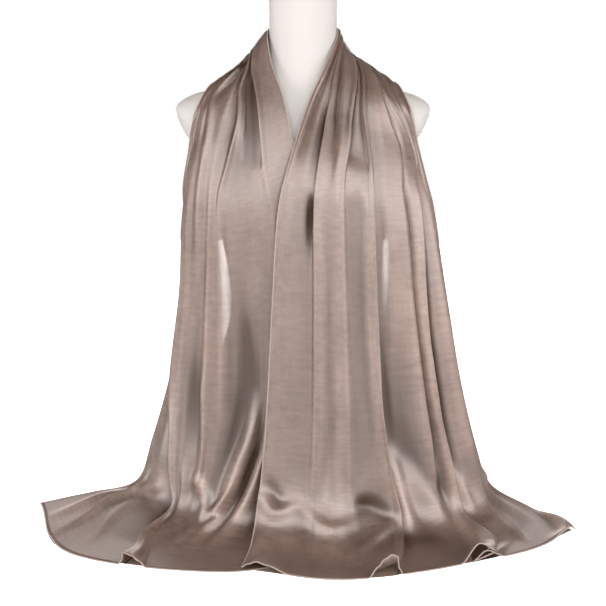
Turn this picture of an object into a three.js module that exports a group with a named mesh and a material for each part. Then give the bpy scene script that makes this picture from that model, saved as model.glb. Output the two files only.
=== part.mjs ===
// A plain satin headscarf hung round the neck of a limbless dress form.
//
// Millimetres, +Z up. The origin is the middle of the form's flat base, the front faces -Y, and the base and
// the hems stand on z = 0. "Left" and "right" are as seen from the front, so the right half has positive x.
//
// The scarf is one rectangular panel. Its surface has two parameters: `row` runs along the length, from the
// left hem over the nape to the right hem, and `line` runs across the width, from the inner long edge to the
// outer one. Each whole number of `line` is a fold line, and ridges and hollows take turns across the width.
// The folds ride on a smooth guide surface, which is lofted through the sections below.

import * as THREE from 'three';

/** Rows of values as objects, each value under the name of its column. */
function table(columns, rows) {
  return rows.map((row) => Object.fromEntries(columns.map((column, i) => [column, row[i]])));
}

// ---- Driving dimensions -------------------------------------------------------------------------------

const WALL = 1.2; // thickness of the faceted cloth
const SEAM_GAP = 0.3; // between the three stretches of the panel
const CREST_ROW_LENGTH = 38; // shortest distance from a shoulder's crest to the next section
const TABLE_GAP = 0.2; // between the cloth that lies on the table and z = 0
const ROWS_PER_HALF = 16; // grid rows from a hem to the crest of the shoulder
const ROWS_ROUND_NAPE = 8;
const STEPS_PER_FOLD = 3; // grid columns from one fold line to the next
const NAPE_RELIEF = 4; // height of the alternating swags behind the neck

const FORM_SEGMENTS = 48;
const FORM_LEVELS = 30;

// ---- Dress form: one horizontal section a row ---------------------------------------------------------
// halfWidth is the reach along X, front along -Y and back along +Y. squareness 2 is an ellipse, and more
// than that is boxier.

const FORM_SECTIONS = table(['z', 'halfWidth', 'front', 'back', 'squareness'], [
  [0, 143, 94, 98, 2.3],
  [50, 149, 98, 105, 2.3],
  [110, 152, 101, 110, 2.3],
  [170, 142, 97, 102, 2.3],
  [230, 118, 85, 84, 2.3],
  [285, 104, 76, 72, 2.3],
  [340, 107, 82, 76, 2.3],
  [395, 117, 97, 83, 2.4],
  [445, 126, 109, 88, 2.4],
  [480, 131, 103, 90, 2.4],
  [510, 143, 93, 91, 2.3],
  [535, 164, 82, 89, 2.3],
  [560, 176, 71, 80, 2.3],
  [577, 176, 63, 66, 2],
  [590, 156, 57, 54, 1.8],
  [599, 126, 53, 50, 1.8],
  [612, 94, 49, 50, 1.8],
  [627, 66, 45, 48, 1.9],
  [645, 51, 41, 47, 2],
  [670, 47, 38, 47, 2],
  [710, 47, 38, 47, 2],
  [745, 47, 38, 47, 2],
]);

// ---- Scarf: sections of the guide surface, one across the whole width a row ------------------------------
// Each section passes through four points: the inner long edge, the fullest part of the front, the side and
// the outer long edge. The panel goes from the left hem to the crest of the left shoulder, round the back
// of the neck, and from the crest of the right shoulder to the right hem.

const SCARF_SECTIONS = table(['at', 'inner', 'front', 'side', 'outer'], [
  ['left hem', [36, -224, 0], [-106, -275, 0], [-312, -216, 0], [-386, -45, 0]],
  ['left floor', [38, -180, 0], [-92, -214, 0], [-252, -162, 1], [-318, -6, 2]],
  ['left bend', [40, -137, 24], [-84, -157, 24], [-199, -108, 21], [-250, -4, 20]],
  ['left knee', [42, -122, 100], [-76, -135, 94], [-186, -92, 90], [-224, -6, 86]],
  ['left hip', [42, -119, 215], [-70, -128, 206], [-172, -76, 200], [-193, 8, 194]],
  ['left waist', [34, -117, 345], [-68, -124, 332], [-158, -76, 322], [-169, 8, 312]],
  ['left bust', [14, -110, 455], [-72, -120, 438], [-155, -80, 424], [-167, -10, 414]],
  ['left vee', [-12, -96, 529], [-76, -111, 500], [-148, -80, 476], [-168, -28, 462]],
  ['left chest', [-26, -72, 588], [-74, -92, 560], [-132, -78, 534], [-158, -42, 516]],
  ['left collar', [-43, -42, 636], [-76, -56, 612], [-118, -60, 590], [-147, -52, 568]],
  ['left crest', [-50, 0, 679], [-72, -4, 650], [-97, -6, 626], [-124, 0, 607]],
  ['left back', [-37, 37, 676], [-66, 58, 638], [-92, 74, 600], [-108, 88, 566]],
  ['nape', [0, 50, 674], [0, 64, 622], [0, 94, 572], [0, 106, 520]],
  ['right back', [37, 37, 676], [66, 58, 638], [92, 74, 600], [108, 88, 566]],
  ['right crest', [50, 0, 679], [62, -4, 652], [94, -6, 630], [126, 0, 608]],
  ['right collar', [30, -48, 630], [64, -64, 613], [109, -65, 595], [146, -48, 575]],
  ['right chest', [7, -72, 581], [58, -96, 558], [120, -86, 540], [158, -42, 526]],
  ['right vee', [-18, -114, 506], [58, -126, 496], [136, -98, 486], [172, -36, 476]],
  ['right bust', [-33, -127, 440], [64, -139, 436], [157, -96, 430], [186, -26, 424]],
  ['right waist', [-41, -136, 318], [70, -148, 315], [182, -96, 310], [205, -22, 304]],
  ['right hip', [-48, -144, 190], [76, -162, 188], [206, -98, 186], [226, -14, 184]],
  ['right knee', [-56, -155, 88], [80, -175, 86], [230, -100, 84], [252, -14, 82]],
  ['right bend', [-64, -176, 29], [80, -200, 27], [246, -117, 21], [278, -18, 21]],
  ['right floor', [-70, -214, 6], [76, -249, 5], [276, -172, 1], [328, -60, 2]],
  ['right hem', [-79, -268, 3], [66, -297, 1], [278, -222, 0], [378, -145, 0]],
]);

// ---- Scarf: fold lines, one a row, from the inner long edge to the outer one ------------------------------
// share is how far round the section the line lies, in per cent of its girth, and rise is its height over
// the guide surface, with hollows below zero. Both are given at six places: crest, chest, bust, hip, bend
// and hem.

const LEFT_FOLDS = [
  { fold: 'inner edge', share: [0, 0, 0, 0, 0, 0], rise: [0, 0, 0, 0, 0, 0] },
  { fold: 'lapped hollow', share: [6, 7, 8, 9, 9, 9], rise: [-3, -3, -1, -3, -4, 0] },
  { fold: 'lapped roll', share: [11, 13, 14, 15, 15, 15], rise: [2, 3, 1, 2, 3, 0] },
  { fold: 'lapped groove', share: [15, 18, 20, 21, 21, 20], rise: [-2, -3, 0, -4, -5, 0] },
  { fold: 'strap ridge', share: [20, 23.5, 26.5, 27, 27, 25], rise: [4, 5, 3, 2, 1, 0] },
  { fold: 'broad hollow', share: [28, 32.5, 35, 33, 33, 29], rise: [-6, -7, -3, -7, -8, 0] },
  { fold: 'hip ridge', share: [35, 38, 40, 38, 42, 33], rise: [0, -2, -1, 3, 14, 1] },
  { fold: 'panel hollow', share: [39, 41, 46.5, 46, 47, 36], rise: [-3, -3, -8, -9, -8, 0] },
  { fold: 'shoulder ridge', share: [43, 44, 52, 51, 51, 38], rise: [6, 8, 9, 10, 4, 0] },
  { fold: 'notch', share: [50, 49, 56, 55, 55, 40], rise: [-4, -5, -5, -6, -5, 0] },
  { fold: 'flank ridge', share: [58, 61, 61, 59, 58, 42], rise: [5, 6, 6, 8, 6, 0] },
  { fold: 'flank hollow', share: [68, 70, 68, 66, 61, 44], rise: [-5, -6, -7, -10, -4, 0] },
  { fold: 'front fold', share: [80, 83, 79, 76, 64.5, 46.5], rise: [5, 6, 9, 12, 12, 19] },
  { fold: 'back hollow', share: [87, 90, 85, 83, 74, 54], rise: [-4, -5, -8, -10, -6, 0] },
  { fold: 'overlap ridge', share: [94, 95, 92, 91, 88, 73], rise: [2, 3, 4, 5, 6, 5] },
  { fold: 'edge hollow', share: [97, 98, 96, 96, 95, 86], rise: [-1, -1, -3, -3, -2, 0] },
  { fold: 'outer edge', share: [100, 100, 100, 100, 100, 100], rise: [0, 0, 0, 0, 0, 0] },
];

const RIGHT_FOLDS = [
  { fold: 'inner edge', share: [0, 0, 0, 0, 0, 0], rise: [0, 0, 0, 0, 1, 1] },
  { fold: 'edge hollow', share: [5, 7, 9, 10, 9, 7], rise: [-2, -4, -4, -6, -3, 8] },
  { fold: 'knife pleat', share: [10, 15, 16.5, 17, 17.5, 17], rise: [3, 4, 5, 8, 4, 0] },
  { fold: 'pleat groove', share: [15, 24, 22, 22, 20.5, 22], rise: [-2, -3, -3, -8, -4, 0] },
  { fold: 'centre roll', share: [19, 30, 28, 29, 25.5, 27], rise: [2, 3, 4, 8, 16, 0] },
  { fold: 'chest crease', share: [24, 36, 35, 34.5, 34.5, 32], rise: [-5, -7, -5, -10, -14, 0] },
  { fold: 'soft roll', share: [31, 41, 41, 38.5, 40, 37], rise: [3, 3, 3, 6, 2, 23] },
  { fold: 'strap edge', share: [38, 47.5, 45.5, 41.5, 43.5, 42], rise: [4, 6, 9, 14, 16, 0] },
  { fold: 'strap hollow', share: [43, 51, 48.5, 45, 49, 46], rise: [-3, -4, -8, -16, -6, 0] },
  { fold: 'sliver', share: [50, 58, 54, 51, 55, 52], rise: [3, 4, 5, 8, 6, 1] },
  { fold: 'outer crease', share: [60, 68, 62.5, 61, 62, 59], rise: [-4, -5, -7, -8, -8, 0] },
  { fold: 'ribbon', share: [64, 74, 67, 65, 68, 66], rise: [2, 3, 5, 6, 12, 25] },
  { fold: 'ribbon hollow', share: [68, 80, 71.5, 69, 73, 74], rise: [-5, -6, -10, -12, -6, 0] },
  { fold: 'flank ridge', share: [82, 88, 79, 77, 80, 82], rise: [4, 5, 8, 10, 8, 2] },
  { fold: 'side hollow', share: [91, 94, 88, 87, 88, 90], rise: [-2, -3, -7, -8, -4, 0] },
  { fold: 'back roll', share: [96, 97, 94, 94, 94, 95], rise: [1, 2, 3, 4, 3, 4] },
  { fold: 'outer edge', share: [100, 100, 100, 100, 100, 100], rise: [0, 0, 0, 0, 0, 0] },
];

// ---- Places along the panel, in rows of SCARF_SECTIONS ---------------------------------------------------

const ROWS_PER_COLUMN = 2; // each column of the fold tables is two sections from the next
const LAST_ROW = SCARF_SECTIONS.length - 1;
const LEFT_CREST = SCARF_SECTIONS.findIndex((section) => section.at === 'left crest');
const RIGHT_CREST = SCARF_SECTIONS.findIndex((section) => section.at === 'right crest');
const LAST_LINE = LEFT_FOLDS.length - 1;

// ---- Materials -----------------------------------------------------------------------------------------

const satin = new THREE.MeshStandardMaterial({ color: 0xa08e84, roughness: 0.35, metalness: 0 });
const plastic = new THREE.MeshStandardMaterial({ color: 0xece4dc, roughness: 0.4, metalness: 0 });

// ---- Smooth interpolation ------------------------------------------------------------------------------

/** Value of a Catmull-Rom curve through evenly spaced numbers, at place t counted in steps. */
function smoothValue(values, t) {
  const last = values.length - 1;
  const i = Math.min(Math.floor(t), last - 1);
  const w = t - i;
  const before = i > 0 ? values[i - 1] : 2 * values[0] - values[1];
  const after = i + 2 <= last ? values[i + 2] : 2 * values[last] - values[last - 1];
  const leave = (values[i + 1] - before) / 2;
  const arrive = (after - values[i]) / 2;
  return (
    (2 * w ** 3 - 3 * w ** 2 + 1) * values[i] +
    (w ** 3 - 2 * w ** 2 + w) * leave +
    (3 * w ** 2 - 2 * w ** 3) * values[i + 1] +
    (w ** 3 - w ** 2) * arrive
  );
}

/** Rises and falls gently from 0 at w = 0 to 1 at w = 1. */
function ease(w) {
  return w * w * (3 - 2 * w);
}

// ---- Scarf ---------------------------------------------------------------------------------------------

/** The four long curves that the sections' named points lie on. */
function sectionRails() {
  return ['inner', 'front', 'side', 'outer'].map((name) => {
    const points = SCARF_SECTIONS.map((section) => new THREE.Vector3(...section[name]));
    return new THREE.CatmullRomCurve3(points, false, 'catmullrom', 0.5);
  });
}

const rails = sectionRails();

/** The guide surface's section at a row, as a curve from the inner edge to the outer one. */
function sectionAt(row) {
  const points = rails.map((rail) => rail.getPoint(row / LAST_ROW));
  return new THREE.CatmullRomCurve3(points, false, 'catmullrom', 0.5);
}

/** A fold line's values from the left hem to the right one, with the nape's own value in the middle. */
function alongPanel(line, key, napeValue) {
  const left = [...LEFT_FOLDS[line][key]].reverse();
  return [...left, napeValue, ...RIGHT_FOLDS[line][key]];
}

/** share and rise of every fold line, all along the panel. */
function foldLines() {
  return LEFT_FOLDS.map((left, line) => {
    const right = RIGHT_FOLDS[line];
    const atEdge = line === 0 || line === LAST_LINE;
    const napeRise = atEdge ? 0 : NAPE_RELIEF * (line % 2 === 0 ? 1 : -1);
    return {
      share: alongPanel(line, 'share', (left.share[0] + right.share[0]) / 2),
      rise: alongPanel(line, 'rise', napeRise),
    };
  });
}

const lines = foldLines();

/** Share of the girth, 0 to 1, and rise at any place between the fold lines. */
function foldAt(row, line) {
  const column = row / ROWS_PER_COLUMN;
  const first = Math.min(Math.floor(line), LAST_LINE - 1);
  const near = lines[first];
  const far = lines[first + 1];
  const w = line - first;
  const share = THREE.MathUtils.lerp(smoothValue(near.share, column), smoothValue(far.share, column), w) / 100;
  const rise = THREE.MathUtils.lerp(smoothValue(near.rise, column), smoothValue(far.rise, column), ease(w));
  return { share: THREE.MathUtils.clamp(share, 0, 1), rise };
}

/** The guide surface's outward unit normal, away from the form or up from the table. */
function guideNormal(row, share) {
  const rowStep = 0.05;
  const shareStep = 0.002;
  const ahead = sectionAt(Math.min(row + rowStep, LAST_ROW)).getPointAt(share);
  const behind = sectionAt(Math.max(row - rowStep, 0)).getPointAt(share);
  const section = sectionAt(row);
  const outer = section.getPointAt(Math.min(share + shareStep, 1));
  const inner = section.getPointAt(Math.max(share - shareStep, 0));
  return ahead.sub(behind).cross(outer.sub(inner)).normalize();
}

/** A point of the cloth's middle surface, with the guide's normal there. */
function clothPoint(row, line) {
  const { share, rise } = foldAt(row, line);
  const normal = guideNormal(row, share);
  const guide = sectionAt(row).getPointAt(share);
  const point = guide.clone().addScaledVector(normal, rise);
  point.z = Math.max(point.z, Math.max(guide.z, 0) / 2 + WALL / 2 + TABLE_GAP);
  return { point, normal };
}

/** One closed wall over the panel between two rows. */
function clothWall(firstRow, lastRow, rowCount) {
  const columnCount = LAST_LINE * STEPS_PER_FOLD;
  const positions = [];
  for (const side of [1, -1]) {
    for (let i = 0; i <= rowCount; i++) {
      const row = THREE.MathUtils.lerp(firstRow, lastRow, i / rowCount);
      for (let j = 0; j <= columnCount; j++) {
        const { point, normal } = clothPoint(row, j / STEPS_PER_FOLD);
        point.addScaledVector(normal, (side * WALL) / 2);
        positions.push(point.x, point.y, point.z);
      }
    }
  }
  return closedShell(positions, rowCount, columnCount);
}

/** Joins an outer grid and an inner grid of points, in that order, into one closed body. */
function closedShell(positions, rowCount, columnCount) {
  const across = columnCount + 1;
  const layer = (rowCount + 1) * across;
  const at = (i, j, back) => i * across + j + (back ? layer : 0);
  const indices = [];
  const quad = (a, b, c, d) => indices.push(a, b, c, a, c, d);
  for (let i = 0; i < rowCount; i++) {
    for (let j = 0; j < columnCount; j++) {
      quad(at(i, j), at(i + 1, j), at(i + 1, j + 1), at(i, j + 1));
      quad(at(i, j, true), at(i, j + 1, true), at(i + 1, j + 1, true), at(i + 1, j, true));
    }
    quad(at(i, 0), at(i, 0, true), at(i + 1, 0, true), at(i + 1, 0));
    quad(at(i, columnCount), at(i + 1, columnCount), at(i + 1, columnCount, true), at(i, columnCount, true));
  }
  for (let j = 0; j < columnCount; j++) {
    quad(at(0, j), at(0, j + 1), at(0, j + 1, true), at(0, j, true));
    quad(at(rowCount, j), at(rowCount, j, true), at(rowCount, j + 1, true), at(rowCount, j + 1));
  }
  const geometry = new THREE.BufferGeometry();
  geometry.setAttribute('position', new THREE.Float32BufferAttribute(positions, 3));
  geometry.setIndex(indices);
  geometry.computeVertexNormals();
  return geometry;
}

// ---- Dress form ------------------------------------------------------------------------------------------

/** A superellipse's point at an angle, counted from +X towards +Y. */
function superellipse(angle, halfWidth, depth, squareness) {
  const c = Math.cos(angle);
  const s = Math.sin(angle);
  const power = 2 / squareness;
  return [halfWidth * Math.sign(c) * Math.abs(c) ** power, depth * Math.sign(s) * Math.abs(s) ** power];
}

/** The smooth torso and neck: a closed loft with a flat base and a flat top to the neck. */
function formSolid() {
  const sections = FORM_SECTIONS.length - 1;
  const value = (key, t) => smoothValue(FORM_SECTIONS.map((section) => section[key]), t);
  const positions = [];
  for (let i = 0; i <= FORM_LEVELS; i++) {
    const t = (sections * i) / FORM_LEVELS;
    for (let j = 0; j < FORM_SEGMENTS; j++) {
      const angle = (2 * Math.PI * j) / FORM_SEGMENTS;
      const depth = value(Math.sin(angle) < 0 ? 'front' : 'back', t);
      const [x, y] = superellipse(angle, value('halfWidth', t), depth, value('squareness', t));
      positions.push(x, y, value('z', t));
    }
  }
  const indices = [];
  const at = (i, j) => i * FORM_SEGMENTS + (j % FORM_SEGMENTS);
  for (let i = 0; i < FORM_LEVELS; i++) {
    for (let j = 0; j < FORM_SEGMENTS; j++) {
      indices.push(at(i, j), at(i, j + 1), at(i + 1, j + 1), at(i, j), at(i + 1, j + 1), at(i + 1, j));
    }
  }
  const base = positions.length / 3;
  positions.push(0, 0, FORM_SECTIONS[0].z, 0, 0, FORM_SECTIONS[sections].z);
  for (let j = 0; j < FORM_SEGMENTS; j++) {
    indices.push(base, at(0, j + 1), at(0, j));
    indices.push(base + 1, at(FORM_LEVELS, j), at(FORM_LEVELS, j + 1));
  }
  const geometry = new THREE.BufferGeometry();
  geometry.setAttribute('position', new THREE.Float32BufferAttribute(positions, 3));
  geometry.setIndex(indices);
  geometry.computeVertexNormals();
  return geometry;
}

// ---- Assembly ------------------------------------------------------------------------------------------

/** A named mesh, added to the headscarf group. */
function addPart(name, geometry, material) {
  const mesh = new THREE.Mesh(geometry, material);
  mesh.name = name;
  headscarf.add(mesh);
}

const headscarf = new THREE.Group();
headscarf.name = 'headscarf_on_dress_form';

const seam = SEAM_GAP / 2 / CREST_ROW_LENGTH;

addPart('dress_form', formSolid(), plastic);
addPart('scarf_left_front', clothWall(0, LEFT_CREST - seam, ROWS_PER_HALF), satin);
addPart('scarf_nape', clothWall(LEFT_CREST + seam, RIGHT_CREST - seam, ROWS_ROUND_NAPE), satin);
addPart('scarf_right_front', clothWall(RIGHT_CREST + seam, LAST_ROW, ROWS_PER_HALF), satin);

export default headscarf;
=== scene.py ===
"""A plain satin headscarf hung round the neck of a limbless dress form, on a pale floor.

Tables are in millimetres and every mesh is in metres. The origin is the middle of the form's flat base, +Z
is up and the front faces -Y. "Left" and "right" are as seen from the front, so the right half is at +X.
"""
import math

import bpy
import numpy as np
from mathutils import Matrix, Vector


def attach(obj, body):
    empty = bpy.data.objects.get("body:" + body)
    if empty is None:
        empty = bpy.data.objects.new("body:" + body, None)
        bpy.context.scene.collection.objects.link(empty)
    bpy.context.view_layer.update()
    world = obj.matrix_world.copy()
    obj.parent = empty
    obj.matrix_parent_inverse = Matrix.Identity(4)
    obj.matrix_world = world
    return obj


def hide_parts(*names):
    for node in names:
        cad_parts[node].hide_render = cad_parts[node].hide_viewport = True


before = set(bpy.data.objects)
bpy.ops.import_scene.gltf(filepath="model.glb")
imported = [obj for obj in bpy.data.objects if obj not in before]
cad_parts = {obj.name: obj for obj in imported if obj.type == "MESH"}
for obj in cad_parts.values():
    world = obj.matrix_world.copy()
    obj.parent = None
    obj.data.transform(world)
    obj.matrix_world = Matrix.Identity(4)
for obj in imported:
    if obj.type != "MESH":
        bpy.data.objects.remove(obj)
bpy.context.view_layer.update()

MM = 0.001

# ---- Driving dimensions ----

CUT_WIDTH = 500 * MM  # the panel's flat size
CUT_LENGTH = 1800 * MM
SATIN_THICKNESS = 0.5 * MM
HEM_RADIUS = 0.9 * MM
TABLE_GAP = 0.4 * MM  # between the cloth that lies on the table and z = 0
HEM_GAP = 0.1 * MM  # the same under the rolled hem
BEHIND_CREST = 0.8  # sections behind the crest to where the swags of the nape begin

FORM_CLEARANCE = 0.6 * MM  # between the cloth and the dress form

ROWS_PER_SECTION = 12  # grid rows from one section to the next
STEPS_PER_FOLD = 6  # grid columns from one fold line to the next
GUIDE_STEPS = 160  # points across the guide surface
CREASE_STEPS = 60  # points along a crease
SECTION_STEPS = 96  # steps along a section's curve when its length is measured
FORM_RINGS = 150
FORM_SEGMENTS = 144
NEARLY_SHUT = 0.001  # how small the middle of the base and of the neck top is, as a share of its ring


# ---- Painted shade and highlights of the folds: how light they leave the cloth's colour ----

FLAT_TONE = 0.5  # where there is no fold
HEIGHT_FOR_ONE = 40  # mm of rise that would add 1 to the tone
HEIGHT_LIMITS = (-0.38, 0.1)
PROUD_IN_FULL = 10  # mm over its surroundings at which a fold has its full tone
PROUD_LIMITS = (-1, 0.7)
PROUD_TONE = 0.46
TONE_SPREAD = 14  # grid columns either side over which a fold's surroundings are taken
SHARP_EDGE_HIGHLIGHT = (0.12, 0.3, 0.12)  # the painted highlight that a sharp edge adds, on its grid column and one either side
EDGE_HIGHLIGHT_END = 8  # the place on the way to the hem where that painted highlight has faded
# the darkest painted shade, reached under the painted shadows
DARKEST_PAINTED_SHADE = -0.3
WRONG_SIDE_PAINTED_SHADE = 0.7  # how much darker the painted fold shading is made on the wrong side of the satin: more painted shade

# ---- Tables ----


def table(columns, rows):
    """Rows of values as one dict of arrays, each under the name of its column."""
    return {name: np.array([row[i] for row in rows]) for i, name in enumerate(columns)}


# ---- Dress form: one horizontal section a row ----
# half_width is the reach along X, front along -Y and back along +Y. squareness 2 is an ellipse.

FORM = table(
    ("z", "half_width", "front", "back", "squareness"),
    [
        (0, 143, 94, 98, 2.3),
        (50, 149, 98, 105, 2.3),
        (110, 152, 101, 110, 2.3),
        (170, 142, 97, 102, 2.3),
        (230, 118, 85, 84, 2.3),
        (285, 104, 76, 72, 2.3),
        (340, 107, 82, 76, 2.3),
        (395, 117, 97, 83, 2.4),
        (445, 126, 109, 88, 2.4),
        (480, 131, 103, 90, 2.4),
        (510, 143, 93, 91, 2.3),
        (535, 164, 82, 89, 2.3),
        (560, 176, 71, 80, 2.3),
        (577, 176, 63, 66, 2),
        (590, 156, 57, 54, 1.8),
        (599, 126, 53, 50, 1.8),
        (612, 94, 49, 50, 1.8),
        (627, 66, 45, 48, 1.9),
        (645, 51, 41, 47, 2),
        (670, 47, 38, 47, 2),
        (710, 47, 38, 47, 2),
        (745, 47, 38, 47, 2),
    ],
)

# ---- Scarf: sections of the guide surface, one across the whole width a row ----
# Each section passes through four points: the inner long edge, the fullest part of the front, the side and
# the outer long edge. The panel goes from the left hem over the nape to the right hem.

SECTIONS = table(
    ("at", "inner", "front", "side", "outer"),
    [
        ("left hem", (36, -224, 0), (-106, -275, 0), (-312, -216, 0), (-386, -45, 0)),
        ("left floor", (38, -180, 0), (-92, -214, 0), (-252, -162, 1), (-318, -6, 2)),
        ("left bend", (40, -137, 24), (-84, -157, 24), (-199, -108, 21), (-250, -4, 20)),
        ("left knee", (42, -122, 100), (-76, -135, 94), (-186, -92, 90), (-224, -6, 86)),
        ("left hip", (42, -119, 215), (-70, -128, 206), (-172, -76, 200), (-193, 8, 194)),
        ("left waist", (34, -117, 345), (-68, -124, 332), (-158, -76, 322), (-169, 8, 312)),
        ("left bust", (14, -110, 455), (-72, -120, 438), (-155, -80, 424), (-167, -10, 414)),
        ("left vee", (-12, -96, 529), (-76, -111, 500), (-148, -80, 476), (-168, -28, 462)),
        ("left chest", (-26, -72, 588), (-74, -92, 560), (-132, -78, 534), (-158, -42, 516)),
        ("left collar", (-43, -42, 636), (-76, -56, 612), (-118, -60, 590), (-147, -52, 568)),
        ("left crest", (-50, 0, 679), (-72, -4, 650), (-97, -6, 626), (-124, 0, 607)),
        ("left back", (-37, 37, 676), (-66, 58, 638), (-92, 74, 600), (-108, 88, 566)),
        ("nape", (0, 50, 674), (0, 64, 622), (0, 94, 572), (0, 106, 520)),
        ("right back", (37, 37, 676), (66, 58, 638), (92, 74, 600), (108, 88, 566)),
        ("right crest", (50, 0, 679), (62, -4, 652), (94, -6, 630), (126, 0, 608)),
        ("right collar", (30, -48, 630), (64, -64, 613), (109, -65, 595), (146, -48, 575)),
        ("right chest", (7, -72, 581), (58, -96, 558), (120, -86, 540), (158, -42, 526)),
        ("right vee", (-18, -114, 506), (58, -126, 496), (136, -98, 486), (172, -36, 476)),
        ("right bust", (-33, -127, 440), (64, -139, 436), (157, -96, 430), (186, -26, 424)),
        ("right waist", (-41, -136, 318), (70, -148, 315), (182, -96, 310), (205, -22, 304)),
        ("right hip", (-48, -144, 190), (76, -162, 188), (206, -98, 186), (226, -14, 184)),
        ("right knee", (-56, -155, 88), (80, -175, 86), (230, -100, 84), (252, -14, 82)),
        ("right bend", (-64, -176, 29), (80, -200, 27), (246, -117, 21), (278, -18, 21)),
        ("right floor", (-70, -214, 6), (76, -249, 5), (276, -172, 1), (328, -60, 2)),
        ("right hem", (-79, -268, 3), (66, -297, 1), (278, -222, 0), (378, -145, 0)),
    ],
)

# ---- Scarf: fold lines, one a row, from the inner long edge to the outer one ----
# Each line is its name, how pointed it is (0 round, 1 sharp) and the points it runs through. A point is its
# place, counted in sections from 0 at the crest of the shoulder to 10 at the hem, its share, how far round
# the section it lies in per cent of the girth, and its rise over the guide surface in mm, below zero in a
# hollow. A tuck lies back under the lip before it, so that the lip hangs over it as the edge of a pleat.

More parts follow.
